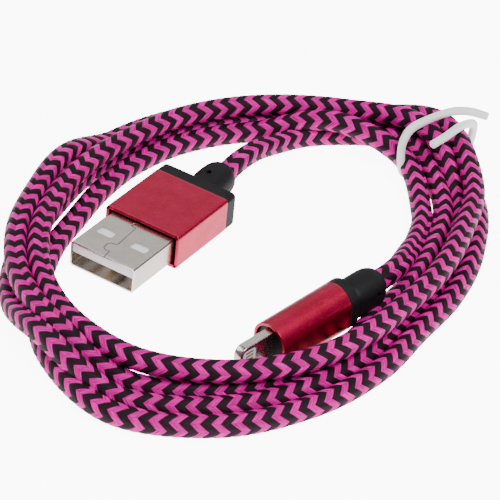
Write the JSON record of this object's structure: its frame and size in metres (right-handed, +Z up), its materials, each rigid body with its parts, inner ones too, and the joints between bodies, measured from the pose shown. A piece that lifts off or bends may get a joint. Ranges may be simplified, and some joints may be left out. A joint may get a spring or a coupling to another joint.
{
  "type": "charging cable",
  "caption": "Braided charging cable, loosely coiled and held by a twist tie, with a flat type-A plug at one end and a small reversible phone plug at the other.",
  "frame": {"origin": "on the table under the middle of the type-A plug, from its mouth to the end of its strain relief", "axes": "+Z up from the table, the type-A plug lies along Y with its mouth toward -Y, and the coil lies round it, mostly toward +X"},
  "size_m": [0.071, 0.0968, 0.0117],
  "materials": {
    "plated_steel": "satin nickel plate",
    "white_plastic": "satin",
    "contact_gold": "polished",
    "black_plastic": "satin",
    "wire_insulation": "satin, black, white, green and red",
    "solder": "bright",
    "inner_jacket": "matte",
    "crimp_steel": "satin",
    "red_aluminium": "satin anodised",
    "black_rubber": "satin",
    "braid": "woven, magenta and black",
    "board": "gloss",
    "ceramic": "matte",
    "tie_plastic": "satin",
    "tie_steel": "satin"
  },
  "bodies": {
    "root": {"charger_shell": "plated_steel", "charger_tongue": "white_plastic", "charger_contact_ground": "contact_gold", "charger_contact_data_plus": "contact_gold", "charger_contact_data_minus": "contact_gold", "charger_contact_power": "contact_gold", "charger_inner_mould": "black_plastic", "charger_wires": "wire_insulation", "charger_solder_joints": "solder", "charger_jacket_end": "inner_jacket", "charger_crimp_ring": "crimp_steel", "charger_sleeve": "red_aluminium", "charger_strain_relief": "black_rubber", "braided_cord": "braid", "phone_tip_frame": "plated_steel", "phone_insert": "white_plastic", "phone_contacts_front": "contact_gold", "phone_contacts_back": "contact_gold", "phone_circuit_board": "board", "phone_controller_chip": "black_plastic", "phone_capacitors": "ceramic", "phone_front_collar": "black_plastic", "phone_inner_mould": "black_plastic", "phone_wires": "wire_insulation", "phone_solder_joints": "solder", "phone_jacket_end": "inner_jacket", "phone_crimp_ring": "crimp_steel", "phone_sleeve": "red_aluminium", "phone_strain_relief": "black_rubber", "tie_cover": "tie_plastic", "tie_wire": "tie_steel"}
  },
  "joints": []
}
